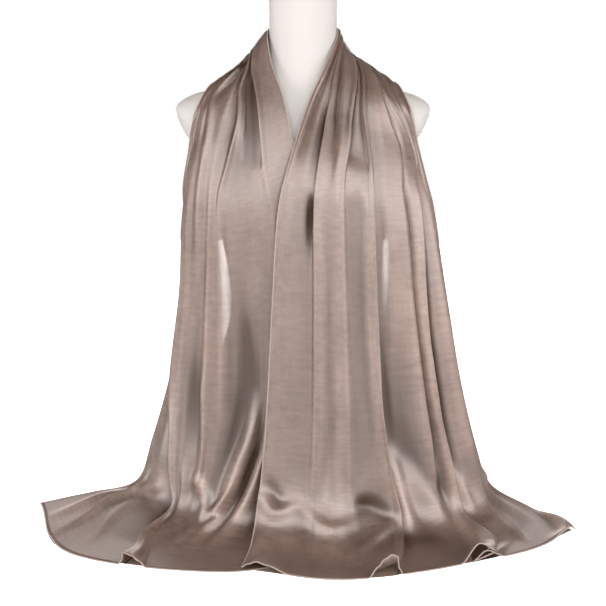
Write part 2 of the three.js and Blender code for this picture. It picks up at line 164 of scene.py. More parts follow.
LEFT_FOLDS = [
    ("inner edge", 0, [(0, 0, -2), (0.6, 0, -1), (2, 0, 0.5), (4, 0, 0), (10, 0, 0)]),
    ("band side", 0, [(0, 6, 0), (0.6, 6, 1), (2, 6, 1), (4, 7, 0), (8, 8, -2), (10, 8, 0)]),
    ("band middle", 0, [(0, 13, 0.5), (0.6, 13, 1.5), (2, 13, 1.5), (4, 13, 0), (8, 14, 0), (10, 14, 0)]),
    ("band far side", 0, [(0, 20, 1), (2, 19, 2), (3, 18.5, 1), (4, 18, 0), (6, 18, 0), (8, 18, -2),
     (10, 18, 0)]),
    ("band lip", 0.4, [(0, 25.5, 1), (0.7, 26.8, 4), (1.4, 25, 5), (2, 24.8, 5), (2.8, 22.8, 4),
     (3.2, 22.6, 2), (4, 22.5, 1), (6, 22, 1), (7, 22, 2), (8, 22.5, 1), (8.8, 22.5, 0), (10, 22, 0)]),
    ("band tuck", 0, [(0, 24, -0.5), (0.7, 24.4, -5), (1.4, 22.4, -7), (2, 22.4, -7), (2.8, 22, -4),
     (3.2, 25, -1), (4, 26, 0), (6, 26, -3), (7, 28, -4), (8, 29, -3), (10, 27, 0)]),
    ("pocket", 0, [(0, 27, -0.5), (0.8, 29, -8), (1.3, 31, -10), (2, 30.5, -10), (2.7, 28.5, -7),
     (3.2, 29, -2), (4, 30, 0), (5.4, 28, -3), (6, 27.5, -2), (6.8, 29.5, 5), (7.5, 33.5, 7),
     (8.2, 37.5, 4), (9, 36, 1), (10, 34, 0)]),
    ("pocket floor", 0, [(0, 28.3, 0), (0.8, 32, -7), (1.3, 35.5, -8), (2, 35.5, -9), (2.7, 35, -6),
     (3.3, 34, -2), (4, 34, 0), (5, 32, -2), (5.5, 31, -6), (6, 30.5, -9), (6.4, 31, -9), (6.8, 32.4, -9),
     (7.3, 36.4, -9), (7.8, 39.6, -6), (8.4, 40.4, -2), (9, 39, 0), (10, 37, 0)]),
    ("diagonal ridge", 0, [(0, 29, 0.5), (0.8, 35, -3), (1.3, 38.5, -3), (2, 38.5, -4), (2.7, 40, -4),
     (3.3, 40, -3), (4, 40, -1), (5, 36, -3), (5.5, 34.5, -9), (6, 33.5, -12), (6.3, 34, -7),
     (6.6, 35.5, 3), (6.9, 38.5, 7), (7.3, 41.5, 8), (7.7, 43.2, 5), (8.1, 43.6, 3), (9, 43, 1),
     (10, 41, 0)]),
    ("dark valley", 0, [(0, 29.7, 1), (0.6, 30.6, 2), (1.2, 40, 1), (1.8, 40.5, 0), (2.7, 44, -3),
     (3.4, 45, -2), (4, 44, 0), (5, 41, -5), (5.5, 39, -12), (6, 38.5, -15), (6.3, 40, -15), (6.6, 42, -13),
     (7, 45.5, -8), (7.4, 47.5, -5), (7.8, 47.3, -3), (8.5, 46.5, -1), (10, 43, 0)]),
    ("light ridge", 0.4, [(0, 30.5, 1), (0.6, 31.6, 4), (1.2, 41.8, 3), (1.8, 42.4, 2.5), (2.2, 44.2, 2),
     (2.7, 46.2, 2), (3.5, 51, 3), (4.7, 51.6, 2), (5.7, 50.5, 2), (6.4, 50, 1), (7, 51.5, 0),
     (7.5, 51.5, -2), (8, 50, 0), (9, 47.5, 0), (10, 43.6, 0)]),
    ("short crease", 0, [(0, 32, -0.5), (0.8, 43.5, -3), (1.4, 45.5, -4), (2, 46.8, -4), (2.2, 48.2, -3),
     (2.7, 50, -1), (3.5, 53, 0.5), (4, 54, 1), (5, 55, 0), (6, 54.8, -1), (7, 54, 0), (8, 53, 0),
     (10, 44, 0)]),
    ("shoulder ridge", 0.5, [(0, 33.5, 1), (0.5, 38.6, 0), (1, 47.5, 1.5), (1.5, 56, 1.5), (1.8, 58.5, 1),
     (2.4, 58, 0.5), (3, 57.5, 1), (4, 57.3, 2), (5.2, 58, 4), (5.8, 57.7, 5), (6.1, 58, 6), (6.5, 56.8, 6),
     (7, 55.6, 5), (7.3, 55.6, 3), (8, 55, 0), (9, 49.4, 0), (10, 44.3, 0)]),
    ("shoulder hollow", 0, [(0, 38, 0), (0.4, 42, -5), (0.6, 53.5, -6), (0.9, 66, -3), (1.3, 66.5, 0),
     (1.8, 65, 0), (2.5, 63, 0), (3, 62, 0), (4, 60.5, -1), (5.2, 61.5, -2), (5.8, 62.6, -5), (6.2, 62, -6),
     (6.6, 60.8, -5), (7, 60, -3), (7.4, 59.5, -3), (7.8, 58, -1), (8.4, 55.2, 0), (9, 50.6, 0),
     (10, 44.6, 0.5)]),
    ("flank ridge", 0, [(0, 43, 1), (0.4, 47, 2), (0.7, 66.5, 3), (1, 75, 2.5), (1.4, 73, 2),
     (1.9, 70.2, 3), (2.5, 67.5, 4), (3.4, 65.5, 4), (4.3, 64, 3), (5, 64.5, -2), (6, 66, -6),
     (7, 64.5, -3), (7.5, 63, 2), (8, 61, 1), (9, 51.6, 0.5), (10, 45, 1)]),
    ("flank hollow", 0, [(0, 47, 0), (0.5, 62, 1), (0.9, 78.5, 1), (1.3, 78.5, 0), (2, 75.5, 0),
     (3, 71.5, 0), (4, 69.5, -1), (5, 69.5, -1), (6, 69, -2), (7, 67, -1), (7.7, 63.4, 0), (8.2, 61.4, 1),
     (8.8, 54.6, 3), (9.4, 49.4, 4), (10, 46.4, 8)]),
    ("front fold top", 0, [(0, 51, 0.5), (0.5, 68, 1), (1, 82.5, 1), (1.4, 82, 1), (2, 81, 1), (3, 77.5, 1),
     (4, 75, 2), (5, 74.5, 4), (6, 72.5, 5), (7, 69, 5), (7.5, 66, 5), (7.8, 63.6, 5), (8.2, 62.1, 6),
     (8.8, 56.6, 8), (9.4, 51.2, 11), (10, 48.5, 15)]),
    ("front fold lip", 0.6, [(0, 57, 0.5), (0.5, 73, 1), (1, 86, 1), (2, 87, 1), (3, 83.5, 1), (4, 79.5, 4),
     (4.4, 79, 6), (5.1, 78.3, 8), (5.7, 78.5, 9), (6.2, 76.8, 9), (6.5, 74, 9), (6.9, 71.5, 9),
     (7.3, 68.8, 9), (7.6, 66.5, 8), (7.8, 64.4, 7), (8.2, 62.9, 8), (8.8, 58, 11), (9.4, 53, 11),
     (10, 50.4, 18)]),
    ("front fold tuck", 0, [(0, 60, 0), (0.5, 76, 0.5), (1, 88.5, 0.5), (2, 89.5, 0), (3, 86, 0),
     (4, 79, -1), (4.4, 76, -4), (5, 74.5, -6), (6, 73.5, -8), (6.5, 71, -8), (7, 68, -8), (7.4, 65.2, -8),
     (7.6, 63.8, -6), (7.8, 62.4, -3), (8.2, 61.2, 0), (8.8, 56, 1), (9.4, 51.6, 2), (10, 51, 5)]),
    ("under layer", 0, [(0, 63, 0), (0.5, 79, 0), (1, 90, 0), (2, 92, 0), (3, 88.5, 0), (4, 83.5, -3),
     (5, 81.5, -7), (6, 79.5, -9), (7, 75, -9), (7.5, 70.5, -10), (7.9, 67, -7), (8.4, 64, -1), (9, 59, 0),
     (9.5, 54, 0), (10, 52, 0)]),
    ("back layer", 0, [(0, 67, 0.5), (0.5, 82, 1), (1, 91.5, 1), (2, 94, 0.5), (3, 91, 0), (4, 87, -2),
     (5, 85, -4), (6, 84, -3), (6.5, 83, -1), (7, 81.5, 2), (7.4, 80, 2), (8, 77, -1), (9, 69, 0),
     (10, 60, 0)]),
    ("back roll", 0, [(0, 73, 1), (0.5, 86, 2), (1.2, 93, 2.5), (2, 96, 2.5), (3, 94, 2), (4, 90.5, 2),
     (5, 89, 2), (6, 88.4, 3), (6.7, 90, 6), (7.2, 89.6, 4), (7.8, 86.4, 2), (8.3, 82.4, 1), (9, 74.6, 1),
     (10, 68, 1)]),
    ("back hollow", 0, [(0, 80, 0), (1, 95.5, 0), (2, 97.4, 0), (4, 94, -3), (6, 92, -4), (6.7, 94, -5),
     (7.2, 94, -5), (7.6, 92, -2), (8, 90, 0), (8.7, 86, 1), (9.2, 79, 2), (10, 73, 2)]),
    ("floor lip", 1, [(0, 86, 1), (1, 97, 1), (2, 98.2, 1), (4, 96, 2), (6, 94.6, 3), (7, 95.2, 3),
     (7.6, 94.4, 3), (8.1, 93.4, 7), (8.7, 90.6, 9), (9.2, 82.6, 8), (9.8, 78.5, 5), (10, 77, 3)]),
    ("floor tuck", 0, [(0, 90, 0), (1, 97.6, 0), (2, 98.6, 0), (4, 97, 0), (6, 96, 0), (7, 96, 0),
     (7.6, 94, -1), (8.1, 91.6, -1), (8.7, 87.4, -1), (9.2, 78.4, -1), (10, 72.6, 0)]),
    ("corner near side", 0, [(0, 93, 0.5), (1, 98.3, 0.5), (2, 99, 0.5), (4, 98, 1), (6, 97.2, 1),
     (7, 97, 0), (8, 95, 0), (8.7, 91, 0), (9.2, 84, 0), (10, 79, 0)]),
    ("corner middle", 0, [(0, 95.5, 0), (2, 99.4, 0), (6, 98.4, 0), (8, 97, 1), (9, 94, 2), (10, 89, 1)]),
    ("corner far side", 0, [(0, 98, 0), (6, 99.2, 0), (9, 97.5, 0), (10, 95, 0)]),
    ("outer edge", 0, [(0, 100, 0), (10, 100, 0)]),
]

RIGHT_FOLDS = [
    ("inner edge", 0, [(0, 0, -2), (0.6, 0, 0), (2, 0, 1), (6.8, 0, 1), (7.6, 0, 2), (8.4, 0, 1),
     (10, 0, 1)]),
    ("edge band", 0, [(0, 3, 0.5), (0.5, 3, 2), (1, 2.8, 3), (2, 2.4, 3), (3, 1.3, 2), (5, 1.5, 0.5),
     (8, 1.5, 2), (10, 1.5, 6)]),
    ("edge crease", 0, [(0, 7.4, -0.5), (0.5, 7, -3), (1, 6.2, -4.5), (2, 4.6, -4.5), (2.9, 2.6, -1),
     (4, 4, 0), (6, 5, -1), (7, 5, -1), (8, 4.5, 2), (9, 4.5, 1), (10, 4, 11)]),
    ("edge hollow", 0, [(0, 8.6, 0.5), (0.6, 9.4, 1.5), (1, 9.5, 1.5), (2, 10, 1), (3, 9, 0),
     (4, 9.5, -1.5), (6, 9.8, -2), (7, 9, -1), (8, 8.8, 2), (9, 8.5, 1), (10, 7, 8)]),
    ("dark crease", 0, [(0, 9.4, 0), (0.6, 10.6, 0.5), (1, 12.6, -1), (1.7, 16, -3), (2.3, 16.2, -6),
     (2.8, 15.6, -5), (3.4, 15.6, -3), (4, 16.2, -5), (4.5, 16.5, -4), (5, 16.6, -2.5), (6.5, 16.2, -1.5),
     (7.4, 15.2, -1), (8, 14.8, -2), (9, 14, 0), (10, 13, 0)]),
    ("knife pleat", 0.6, [(0, 10.3, 0.5), (0.6, 11, 3), (1.2, 14, 4), (1.7, 17.2, 4), (2.5, 17, 4),
     (2.9, 16.5, 3), (3.8, 17.2, 3), (4.9, 18.2, 3.5), (6.7, 18, 2.5), (7.5, 17.6, 1), (8, 17.6, 0),
     (10, 17, 0)]),
    ("pleat top", 0, [(0, 12.3, 1), (0.6, 12.8, 3), (1.2, 16, 2), (2, 19, 2), (3, 19.5, 2.5), (4, 20.5, 3),
     (5, 21.2, 4), (6.2, 20.5, 4), (7.4, 19.8, 2), (8, 19.5, 3), (9, 19.5, 1), (10, 19.5, 0)]),
    ("soft valley", 0, [(0, 15, 0), (0.6, 16.5, -2), (1.2, 20, -3.5), (1.8, 23.5, -4.5), (2.3, 25.5, -3.5),
     (3, 24, 0), (4, 23.3, 0), (4.8, 24, -2), (6.2, 24, -2), (7.2, 22.6, 1), (7.8, 23, 6), (8.3, 23.5, 7),
     (9, 23, 2), (10, 22, 0)]),
    ("centre roll", 0, [(0, 22, 1), (0.6, 24, 2.5), (1.2, 27, 3), (2, 30.5, 4), (2.5, 29, 5),
     (3, 27.5, 4.5), (4.3, 29.2, 3), (5.8, 27, 3), (6.5, 26.5, 3), (7.4, 26.5, 4), (8, 26.5, 6),
     (8.6, 27, 3), (9.3, 27, 1), (10, 27, 0)]),
    ("chest lip", 0.6, [(0, 31, 1), (0.3, 33.8, 3), (0.6, 35.2, 5), (1.3, 37, 6), (2.2, 35.5, 6),
     (2.6, 34, 3), (2.9, 32.6, 1), (3.4, 31, 1.5), (4, 31, 2), (6, 30.5, 1.5), (7.1, 30.2, -1),
     (7.8, 31, 2), (9, 30, 0), (10, 30, 0)]),
    ("chest tuck", 0, [(0, 30, -0.5), (0.3, 31.6, -2), (0.6, 32.6, -4), (1.3, 34.2, -5), (2.2, 33, -5),
     (2.6, 32.6, -4), (2.9, 32.4, -1), (3.4, 33, -1), (4, 33.5, -4), (5, 34, -5.5), (6, 33.8, -5),
     (6.8, 33.6, -3.5), (7.3, 33.4, -4), (7.7, 33.8, -1), (8.2, 34, 2), (9, 33.5, 0), (10, 33.2, 0)]),
    ("soft roll", 0, [(0, 34, 0.5), (0.6, 37.8, 1), (1, 39.5, 1), (2, 41, 0), (2.6, 40, -2.5), (3.1, 39, 0),
     (4, 39.5, -4), (5, 38.5, -6), (6, 37.8, -5), (6.8, 37.8, -2), (7.3, 37.6, -4), (7.7, 38, -1),
     (8.2, 38.5, 2), (8.8, 37, 1), (9.4, 36, 2), (9.75, 35.8, 4), (10, 35.6, 15)]),
    ("twin crease", 0, [(0, 36.6, 0), (0.7, 41.8, -3), (1.4, 42.8, -3), (2, 45.6, -3), (2.7, 46.1, -2),
     (3, 44.6, 0), (4, 43, 2), (6, 40.4, 3), (6.9, 41.4, 2), (7.35, 41.6, -3), (7.7, 41.8, -1),
     (8.2, 41.6, 1), (8.8, 38.8, 2), (9.4, 37.6, 3), (9.75, 37.4, 6), (10, 37.3, 25)]),
    ("twin ridge", 0, [(0, 37.6, 0.5), (0.7, 42.6, 1.5), (1.4, 44.6, 1.5), (2, 46.6, 2), (2.6, 46.7, 2),
     (3, 46, 3), (4, 44.9, 4), (5, 43.5, 5), (6, 42, 5), (6.5, 42.8, 4), (6.9, 43.6, 3), (7.35, 44, -1),
     (7.7, 44.2, 0), (8.2, 43.6, 3), (8.8, 40.4, 4), (9.4, 39, 5), (9.75, 39, 9), (10, 39.1, 30)]),
    ("strap lip", 0.6, [(0, 38.8, 1), (0.6, 43.8, 3), (1.4, 46.2, 4), (2, 47.6, 5), (2.5, 47.2, 5),
     (3, 47.2, 5), (4, 45.9, 6), (5.4, 43.8, 8), (6, 42.8, 10), (6.5, 43.8, 9), (7, 44.6, 7),
     (7.4, 45.4, 6), (7.7, 45.8, 6), (8.2, 45.2, 6), (8.8, 42.2, 6), (9.4, 40.8, 6), (9.75, 40.6, 10),
     (10, 40.7, 26)]),
    ("strap tuck", 0, [(0, 37.6, -0.5), (0.6, 42.4, -3), (1.4, 44.6, -3), (2, 46, -3.5), (2.5, 46.2, -4),
     (3, 45.8, -5), (4, 44.6, -4), (5.4, 42.4, -5), (6, 41.6, -9), (6.5, 42.6, -7), (7, 44, -4),
     (7.4, 45, -3), (7.7, 45.6, -2), (8.2, 45.4, -1), (8.8, 43, 0), (9.4, 41.3, 1), (9.75, 41.2, 2),
     (10, 41.3, 9)]),
    ("strap hollow", 0, [(0, 42, 0), (1, 50, 0.5), (2, 53, 0), (3, 50, -1), (4, 48, -2), (5, 46.5, -4),
     (5.5, 46, -9), (6, 45.2, -16), (6.4, 45.8, -12), (6.9, 47, 0), (7.4, 47.5, 3), (8, 48.2, 4),
     (8.5, 48, 2), (9, 46, 1), (9.5, 43.5, 0.5), (10, 42.4, 0.5)]),
    ("sliver", 0, [(0, 48, 1), (1, 57, 2), (2, 60, 2.5), (3, 56, 3), (4, 53, 4), (5, 51.5, 3),
     (6, 50.5, -8), (6.6, 51, -8), (7.2, 51.5, -1), (7.8, 52.6, -1), (8.4, 54, 0), (9, 51.5, 0.5),
     (10, 46, 0.5)]),
    ("outer lip", 0.6, [(0, 52.5, 1), (0.6, 58.5, 2.5), (1.6, 66.7, 4), (2.2, 70.7, 4), (2.8, 67.7, 4),
     (3.4, 64.7, 4), (4.3, 63.2, 5), (5, 62, 5), (6, 61.5, 5), (6.6, 62.4, 4), (7.2, 62, 2), (8, 59.5, 1),
     (9, 56, 0.5), (10, 51, 0)]),
    ("outer tuck", 0, [(0, 51.5, -0.5), (0.6, 57, -3), (1.6, 65.2, -4), (2.2, 69.2, -4), (2.8, 66.6, -4),
     (3.4, 63.8, -4), (4.3, 62.6, -5), (5, 61.8, -5), (6, 62, -6), (6.6, 63.5, -6), (7.2, 65, -5),
     (8, 63.5, -1), (9, 61, 0), (10, 58.8, 1)]),
    ("ribbon", 0, [(0, 55, 0.5), (1, 64, 2), (2, 76, 3), (3, 69.5, 4), (4, 67.5, 6), (5, 65.5, 7),
     (6, 65, 8), (7, 67.6, 7), (8, 66.6, 6), (9, 65.4, 9), (9.5, 64.8, 16), (10, 64, 26)]),
    ("ribbon lip", 0.6, [(0, 57, 1), (0.7, 61.5, 2.5), (1.2, 69.3, 4), (1.7, 81.5, 4), (2.3, 85, 4),
     (3.1, 75.7, 6), (4.1, 71.7, 8), (4.8, 68.7, 8), (5.5, 67, 8), (6.1, 67, 8), (7, 69.2, 7), (7.7, 69, 6),
     (8.3, 70, 6), (8.9, 70.4, 7), (9.5, 70.4, 9), (10, 69.8, 10)]),
    ("ribbon tuck", 0, [(0, 56, -0.5), (0.7, 60.3, -3), (1.2, 67.8, -4), (1.7, 79.8, -4), (2.3, 83.4, -6),
     (3.1, 76.4, -10), (4.1, 73.2, -14), (4.8, 70.6, -15), (5.5, 69.2, -15), (6.1, 69.4, -13),
     (7, 70.5, -5), (7.7, 69, -2), (8.3, 69, -1), (8.9, 68.6, 0.5), (9.5, 66.5, 2), (10, 62.5, 3)]),
    ("side layer", 0, [(0, 60, 1), (0.8, 71, 1), (1.3, 78, 1), (2, 88, 1), (2.6, 86.5, 0), (3.1, 79.6, -1),
     (4.1, 76, 0), (4.8, 73.6, 0), (5.5, 72.4, 0), (6.1, 72.8, 0), (7, 74, 3), (8, 74.5, 2), (9, 73, 1),
     (9.6, 69.5, 6), (10, 66.3, 14)]),
    ("side lip", 0, [(0, 66, 1), (0.8, 74, 2), (1.6, 89.5, 2.5), (2.3, 91, 3), (2.9, 87, 4), (4.2, 81, 7),
     (5, 79.4, 8), (6, 79, 9), (7, 80, 7), (8, 80, 5), (9, 77.5, 2), (10, 72.5, 0.5)]),
    ("side hollow", 0, [(0, 72, 0), (1, 84, -1), (2, 93, -2), (3, 91, -3), (4, 87, -3), (6, 86, -4),
     (7, 85.5, 0), (8, 86, -2), (9, 84, 0), (10, 80, 0)]),
    ("back roll", 0, [(0, 84, 1), (1, 91.5, 2), (2, 96, 2), (3, 95, 2.5), (4, 93.5, 3), (6, 92.5, 4),
     (7, 92, 4), (8, 92.5, 3), (9, 93, 1), (10, 91, 1)]),
    ("back hollow", 0, [(0, 94, -0.5), (2, 98.5, 0), (4, 97.5, -1), (6, 97, -2), (8, 97.5, -1),
     (10, 97, 0)]),
    ("outer edge", 0, [(0, 100, 0), (10, 100, 0)]),
]

# The swags behind the neck: each line's share and rise there.

NAPE_FOLDS = [
    (0, 0), (4, 5), (8.5, 10), (12, -6), (14.5, 7), (17, -9), (21, 2), (25.5, 12), (28, -7), (30.5, 6),
    (33.5, -10), (38, 5), (43, 13), (45.5, -7), (48, 3), (50.5, -12), (55, 3), (59, 14), (61.5, -8),
    (64, 2), (67.5, 10), (70.5, -9), (74, 0), (79, 12), (82, -7), (86, 6), (89, -5), (94.5, 7), (100, 0),
]

# ---- Scarf: creases, one a row ----
# What bends the folds where they meet the table, and the small creases between them. Each is its name, its
# half, -1 left or 1 right, its width in mm from the middle to where it has faded, how far it leans towards
# the outer edge and how far it runs out towards the hem, in mm for each mm of rise, and its points.

CREASES = [
    ("hook", -1, 7, 0, 0.3, [(7.5, 60, 0), (7.3, 57, 6), (7.6, 52, 6), (8, 48, 7), (7.5, 41, 8),
     (6.7, 35, 0)]),
    ("second foot", -1, 6, 0, 0.3, [(7.9, 40.5, 0), (8.15, 42.5, 4), (8.3, 44.5, 5), (8.4, 48, 0)]),
    ("knuckle ridge", -1, 8, 0, 0, [(7.55, 74, 0), (7.65, 78, 4), (7.75, 82, 5), (7.9, 86.5, 5),
     (8.05, 91, 4), (8.1, 94, 0)]),
    ("tip shade", -1, 9, 0, 0, [(7.7, 67.5, 0), (7.9, 66.5, -5), (8.2, 64.5, -4), (8.5, 61.5, 0)]),
    ("far floor ridge", -1, 8, 0, 0, [(8.3, 86, 0), (8.7, 80, 3), (9.2, 70, 3), (9.8, 63, 0)]),
    ("corner ridge", -1, 7, 0, 0, [(8.3, 98, 0), (8.8, 96, 3), (9.4, 92, 3), (9.9, 89, 0)]),
    ("inner foot", 1, 10, 0, 0.5, [(7.5, 1, 4), (7.8, 6, 6), (7.6, 14, 3), (8.1, 23, 5), (7.8, 31, 0)]),
    ("edge dimple", 1, 8, 0, 0, [(7.1, 2.6, 0), (7.25, 3.6, -6), (7.4, 5.5, -5), (7.55, 8, 0)]),
    ("short notch", 1, 3.5, 0, 0, [(3.7, 15.4, 0), (3.9, 15.2, -6), (4.15, 15.1, -6), (4.45, 15.1, 0)]),
    ("smile hollow", 1, 11, 0, -0.3, [(7.7, 30, 0), (7.5, 35, -5), (7.7, 41, -4), (7.8, 45, 0)]),
    ("foot ridge", 1, 8, 0, 0, [(7.9, 43.5, 0), (8.1, 39.5, 5), (8.4, 35, 5), (8.8, 30, 3), (9.2, 27, 0)]),
    ("bright roll", 1, 15, 0, 0.4, [(6.7, 46, 0), (7.1, 46.5, 4), (7.8, 48, 6), (8.3, 49, 0)]),
    ("dark band", 1, 12, 0, 0, [(6.4, 56, 0), (7, 58, -4), (7.3, 62, -4), (7.6, 65, 0)]),
    ("hump", 1, 16, 0, 0.3, [(6.9, 56, 0), (7.4, 58.5, 4), (7.9, 60.5, 5), (8.3, 63, 0)]),
    ("right foot", 1, 9, 0, 0.4, [(7, 70, 0), (7.3, 71, 4), (7.7, 72.5, 4), (8, 74, 0)]),
    ("right knuckle", 1, 8, 0, 0, [(7.3, 88, 0), (7.5, 91, 4), (7.7, 95, 5), (7.7, 99, 4)]),
    ("right floor ridge", 1, 8, 0, 0, [(8.4, 80, 0), (8.8, 79, 2.5), (9.4, 81, 2.5), (9.9, 84, 0)]),
    ("corner roll", 1, 9, 0, 0, [(10, 90, 0), (10, 94.5, 7), (9.95, 98, 11), (9.6, 100, 9), (9.2, 100, 0)]),
]

# Where the cloth hangs in one thin layer beside a pleat, and lets the light behind it through: its half,
# half its width in mm and its points (place, share, how sheer from 0 to 1).

SINGLE_LAYERS = [
    (-1, 7.5, [(3.9, 50, 0), (4.5, 49, 0.8), (5.2, 48, 1), (6, 47.5, 0.9), (6.4, 47, 0)]),
    (1, 4.5, [(3.8, 52, 0), (4.6, 50, 0.8), (5.3, 47.5, 0)]),
]

# Painted shadows and painted highlights, where the folds round it would keep the light off the cloth or
# throw it on: its half, half its width in mm and its points (place, share, how much lighter, from -1 to
# 0.5).

PAINTED_SHADOWS_AND_HIGHLIGHTS = [
    (-1, 4, [(0.5, 26, 0), (0.4, 40, -1), (0.4, 60, -0.9), (0.5, 90, 0)]),
    (-1, 3.5, [(0.5, 24, 0), (1.4, 22.5, -0.35), (2.6, 22, 0)]),
    (-1, 22, [(0.9, 14, 0), (2, 16, -0.12), (3.3, 10, 0)]),
    (-1, 30, [(1.5, 48, 0), (2.5, 44, -0.28), (3.5, 35, 0)]),
    (-1, 24, [(4, 63, 0), (5, 65, 0.2), (5.8, 66, 0)]),
    (-1, 25, [(5.5, 66, 0), (6.2, 65, -0.25), (7, 62, 0)]),
    (-1, 22, [(6.3, 96, 0), (6.9, 86, -0.2), (7.4, 78, 0)]),
    (-1, 14, [(7.3, 81, 0), (7.4, 76, 0.2), (7.6, 72, 0)]),
    (-1, 8, [(7.5, 65, 0), (8, 62, -0.4), (8.5, 58, 0)]),
    (-1, 5, [(6.7, 32, 0), (7, 35, -0.6), (7.4, 37, -0.5), (7.9, 39, 0)]),
    (-1, 7, [(7.4, 32, 0), (8, 30, -0.35), (8.6, 27, 0)]),
    (-1, 8, [(7.3, 31, 0), (7.9, 36, 0.35), (8.5, 38, 0)]),
    (-1, 6, [(7.5, 60, 0), (7.3, 55, 0.4), (7.8, 50, 0.35), (8, 45, 0.4), (7.5, 41, 0.4), (6.8, 36, 0)]),
    (-1, 8, [(7.5, 58, 0), (7.8, 54, -0.35), (8.2, 49, 0)]),
    (-1, 24, [(9, 56, 0), (9.1, 45, 0.15), (9.3, 28, 0)]),
    (-1, 40, [(8.3, 96, 0), (9.3, 88, 0.4), (9.8, 88, 0.4)]),
    (1, 3.5, [(0.5, 32, 0), (1.3, 34, -0.6), (2.2, 33, -0.6), (2.9, 32, 0)]),
    (1, 3.5, [(1.4, 15, 0), (2.3, 16, -0.6), (3.2, 16, 0)]),
    (1, 5, [(3.5, 15, 0), (3.9, 15.5, -0.8), (4.6, 15, 0)]),
    (1, 22, [(1, 23, 0), (1.8, 31, -0.15), (2.7, 31, 0)]),
    (1, 22, [(2, 54, 0), (2.9, 55, -0.15), (3.8, 55, 0)]),
    (1, 16, [(3.8, 80, 0), (4.3, 73, -0.12), (5, 71, 0)]),
    (1, 12, [(4, 67, 0), (4.8, 65, 0.2), (5.6, 64, 0)]),
    (1, 14, [(5.3, 46, 0), (6, 45.5, 0.12), (6.6, 46, 0)]),
    (1, 25, [(5.6, 53, 0), (6.3, 52, -0.2), (6.9, 51, 0)]),
    (1, 15, [(6.3, 56, 0), (7, 58, -0.3), (7.3, 62, -0.35), (7.6, 65, 0)]),
    (1, 16, [(6.7, 74, 0), (7, 77, -0.3), (7.3, 81, 0)]),
    (1, 18, [(6.6, 46, 0), (7.4, 47, 0.4), (7.8, 48, 0.45), (8.3, 49, 0)]),
    (1, 16, [(6.9, 68, 0), (7.5, 70, 0.4), (8.1, 72, 0)]),
    (1, 12, [(7.6, 29, 0), (7.4, 34, -0.45), (7.4, 39, -0.5), (7.6, 44, -0.5), (7.8, 47, 0)]),
    (1, 6, [(7.9, 44, 0), (8.2, 37, -0.2), (8.7, 28, 0)]),
    (1, 12, [(7.5, 1, 0.1), (7.8, 6, 0.05), (7.6, 14, 0), (8.1, 23, 0.15), (7.8, 31, 0)]),
    (1, 14, [(8.2, 42, 0), (8.4, 48, -0.3), (8.5, 58, 0)]),
    (1, 30, [(8.4, 23, 0), (8.5, 34, -0.25), (8.7, 53, -0.28), (8.8, 64, 0)]),
]

LAST_ROW = len(SECTIONS["at"]) - 1
LAST_LINE = len(LEFT_FOLDS) - 1
LEFT_CREST, NAPE, RIGHT_CREST = 10, 12, 14  # their rows among the sections


# ---- Smooth interpolation ----


def cubic(w, near, leave, far, arrive):
    """The cubic curve from near to far, for w from 0 to 1, that leaves and arrives at the given slopes."""
    return (
        (2 * w**3 - 3 * w**2 + 1) * near
        + (w**3 - 2 * w**2 + w) * leave
        + (3 * w**2 - 2 * w**3) * far
        + (w**3 - w**2) * arrive
    )


def smooth(values, t):
    """Catmull-Rom curve through evenly spaced values, at places t counted in steps, with straight ends."""
    values = np.asarray(values, float)
    ends = np.concatenate([[2 * values[0] - values[1]], values, [2 * values[-1] - values[-2]]])
    i = np.clip(np.floor(t).astype(int), 0, len(values) - 2)
    w = (t - i).reshape((-1,) + (1,) * (values.ndim - 1))
    before, near, far, after = (ends[i + k] for k in range(4))
    return cubic(w, near, (far - before) / 2, far, (after - near) / 2)


def through(points, t):
    """A curve through uneven points (place, value) at places t, that never swings past them: each slope is
    the harmonic mean of those on its two sides, or nothing at a peak."""
    x, y = np.asarray(points, float).T
    step, slope = np.diff(x), np.diff(y) / np.diff(x)
    lean = np.concatenate([[slope[0]], np.zeros(len(x) - 2), [slope[-1]]])
    same = slope[:-1] * slope[1:] > 0
    with np.errstate(divide="ignore", invalid="ignore"):
        lean[1:-1] = np.where(same, 2 / (1 / slope[:-1] + 1 / slope[1:]), 0)
    i = np.clip(np.searchsorted(x, t, side="right") - 1, 0, len(x) - 2)
    w = np.clip((t - x[i]) / step[i], 0, 1)
    return cubic(w, y[i], step[i] * lean[i], y[i + 1], step[i] * lean[i + 1])


# ---- Meshes ----


def grid_faces(rows, columns, wrap=False):
    """Quads of a grid of rows by columns vertices, as an array of four corners each."""
    i, j = np.meshgrid(np.arange(rows - 1), np.arange(columns if wrap else columns - 1), indexing="ij")
    k = (j + 1) % columns
    here, next_row = i * columns, (i + 1) * columns
    return np.stack([here + j, next_row + j, next_row + k, here + k], axis=-1)


def make_mesh(name, vertices, faces, material):
    """A smooth-shaded mesh object from arrays of vertices and of faces."""
    mesh = bpy.data.meshes.new(name)
    mesh.from_pydata(np.asarray(vertices).tolist(), [], np.asarray(faces).reshape(-1, 4).tolist())
    mesh.update()
    mesh.polygons.foreach_set("use_smooth", np.ones(len(mesh.polygons), bool))
    piece = bpy.data.objects.new(name, mesh)
    bpy.context.scene.collection.objects.link(piece)
    mesh.materials.append(material)
    return piece


# ---- Scarf ----


